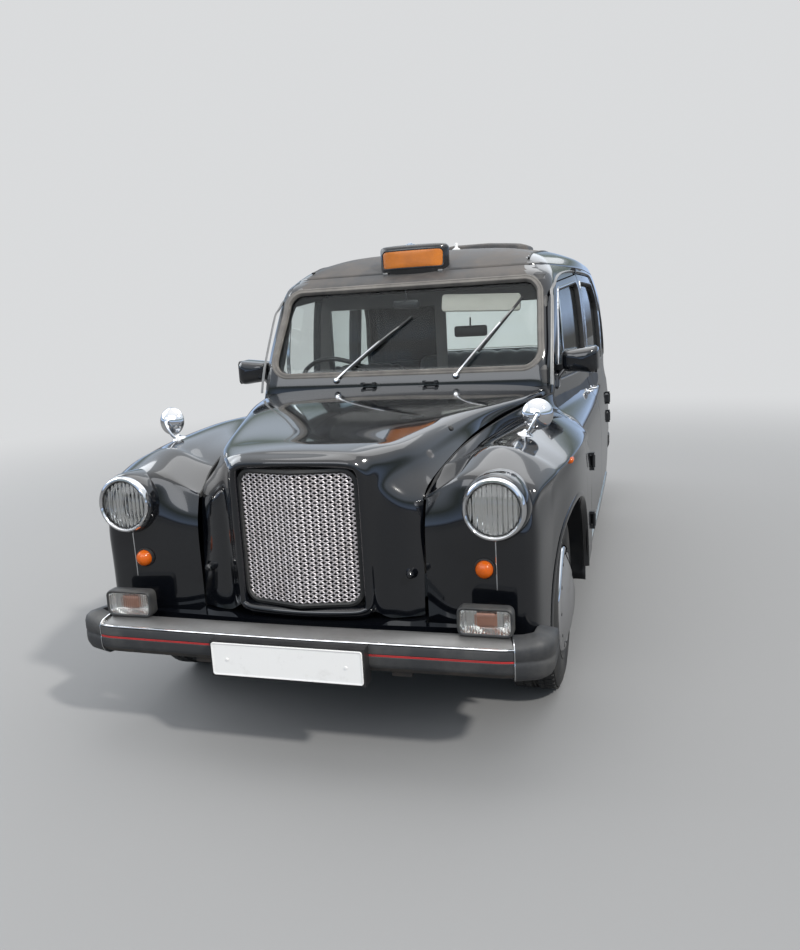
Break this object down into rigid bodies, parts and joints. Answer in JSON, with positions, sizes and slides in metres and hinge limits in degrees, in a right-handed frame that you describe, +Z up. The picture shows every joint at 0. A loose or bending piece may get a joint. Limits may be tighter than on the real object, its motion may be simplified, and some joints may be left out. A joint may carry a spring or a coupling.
{
  "type": "taxi cab",
  "caption": "Black four-door taxi cab with an upright folded-mesh grille, round headlamps, separate wings, roof sign, hinged doors, bonnet and boot, and steered front wheels.",
  "frame": {"origin": "on the ground under the centre of the cab's overall box", "axes": "+X to the cab's left, +Y to its rear, +Z up"},
  "size_m": [1.78, 4.5799, 1.785],
  "materials": {
    "body_paint": "gloss black",
    "roof_skin": "weathered black",
    "glass": "clear glass",
    "bright_metal": "satin expanded metal",
    "bumper_metal": "weathered satin metal",
    "bumper_rubber": "worn rubber",
    "black_plastic": "satin black plastic",
    "plate_white": "blank white plate",
    "lamp_glass": "fluted lamp glass",
    "amber_lens": "amber lens",
    "red_lens": "red lens",
    "sign_body": "moulded sign housing",
    "chrome": "polished chrome",
    "wiper_metal": "satin wiper arm",
    "floor_rubber": "rubber floor",
    "chassis_black": "satin chassis paint",
    "engine_metal": "cast metal",
    "tyre": "tyre rubber",
    "exhaust_metal": "stained steel",
    "seat_vinyl": "grained vinyl",
    "trim_plastic": "grained trim"
  },
  "bodies": {
    "root": {"roof_panel": "roof_skin", "fixed_glass": "glass", "cab_frame": "body_paint", "rear_wings": "body_paint", "tail_shell": "body_paint", "front_wings": "body_paint", "front_apron": "body_paint", "front_bumper": "bumper_metal", "rear_bumper": "bumper_metal", "bumper_ends": "bumper_rubber", "plate_plinth": "black_plastic", "front_plate": "plate_white", "headlamps": "lamp_glass", "front_lamps": "amber_lens", "tail_lamps": "red_lens", "taxi_sign": "sign_body", "wing_mirrors": "chrome", "wipers": "wiper_metal", "floor_pan": "floor_rubber", "chassis_frame": "chassis_black", "fuel_tank": "chassis_black", "radiator": "chassis_black", "engine": "engine_metal", "drive_shaft": "chassis_black", "front_axle": "chassis_black", "rear_axle": "chassis_black", "exhaust": "exhaust_metal", "dashboard": "black_plastic", "steering_wheel": "black_plastic", "driver_seat": "seat_vinyl", "rear_bench": "seat_vinyl", "partition": "trim_plastic"},
    "bonnet": {"bonnet": "body_paint", "grille_mesh": "bright_metal"},
    "boot": {"boot_lid": "body_paint"},
    "door_fl": {"door_front_left": "body_paint", "door_glass_front_left": "glass"},
    "door_fr": {"door_front_right": "body_paint", "door_glass_front_right": "glass"},
    "door_rl": {"door_rear_left": "body_paint", "door_glass_rear_left": "glass"},
    "door_rr": {"door_rear_right": "body_paint", "door_glass_rear_right": "glass"},
    "steer_l": {"knuckle_left": "engine_metal"},
    "steer_r": {"knuckle_right": "engine_metal"},
    "wheel_fl": {"rim_front_left": "chrome", "tyre_front_left": "tyre"},
    "wheel_fr": {"rim_front_right": "chrome", "tyre_front_right": "tyre"},
    "wheel_rl": {"rim_rear_left": "chrome", "tyre_rear_left": "tyre"},
    "wheel_rr": {"rim_rear_right": "chrome", "tyre_rear_right": "tyre"}
  },
  "joints": [
    {"name": "bonnet_open", "type": "hinge", "parent": "root", "child": "bonnet", "pos_m": [0, -0.86, 1.128], "axis": [-1, 0, 0], "range_deg": [0, 50]},
    {"name": "boot_open", "type": "hinge", "parent": "root", "child": "boot", "pos_m": [0, 1.828, 1.014], "axis": [1, 0, 0], "range_deg": [0, 75]},
    {"name": "door_front_left_open", "type": "hinge", "parent": "root", "child": "door_fl", "pos_m": [0.877, -0.809, 0.6], "axis": [0, 0, -1], "range_deg": [0, 65]},
    {"name": "door_front_right_open", "type": "hinge", "parent": "root", "child": "door_fr", "pos_m": [-0.877, -0.809, 0.6], "axis": [0, 0, 1], "range_deg": [0, 65]},
    {"name": "door_rear_left_open", "type": "hinge", "parent": "root", "child": "door_rl", "pos_m": [0.877, 1.009, 0.75], "axis": [0, 0, 1], "range_deg": [0, 70]},
    {"name": "door_rear_right_open", "type": "hinge", "parent": "root", "child": "door_rr", "pos_m": [-0.877, 1.009, 0.75], "axis": [0, 0, -1], "range_deg": [0, 70]},
    {"name": "steer_left", "type": "hinge", "parent": "root", "child": "steer_l", "pos_m": [0.65, -1.49, 0.343], "axis": [0, 0, 1], "range_deg": [-38, 38]},
    {"name": "steer_right", "type": "hinge", "parent": "root", "child": "steer_r", "pos_m": [-0.65, -1.49, 0.343], "axis": [0, 0, 1], "range_deg": [-38, 38]},
    {"name": "wheel_front_left_spin", "type": "hinge", "parent": "steer_l", "child": "wheel_fl", "pos_m": [0.711, -1.49, 0.343], "axis": [1, 0, 0], "continuous": true},
    {"name": "wheel_front_right_spin", "type": "hinge", "parent": "steer_r", "child": "wheel_fr", "pos_m": [-0.711, -1.49, 0.343], "axis": [1, 0, 0], "continuous": true},
    {"name": "wheel_rear_left_spin", "type": "hinge", "parent": "root", "child": "wheel_rl", "pos_m": [0.711, 1.32, 0.343], "axis": [1, 0, 0], "continuous": true},
    {"name": "wheel_rear_right_spin", "type": "hinge", "parent": "root", "child": "wheel_rr", "pos_m": [-0.711, 1.32, 0.343], "axis": [1, 0, 0], "continuous": true}
  ],
  "couplings": [
    {"joint": "steer_right", "follows": "steer_left", "ratio": 1}
  ]
}
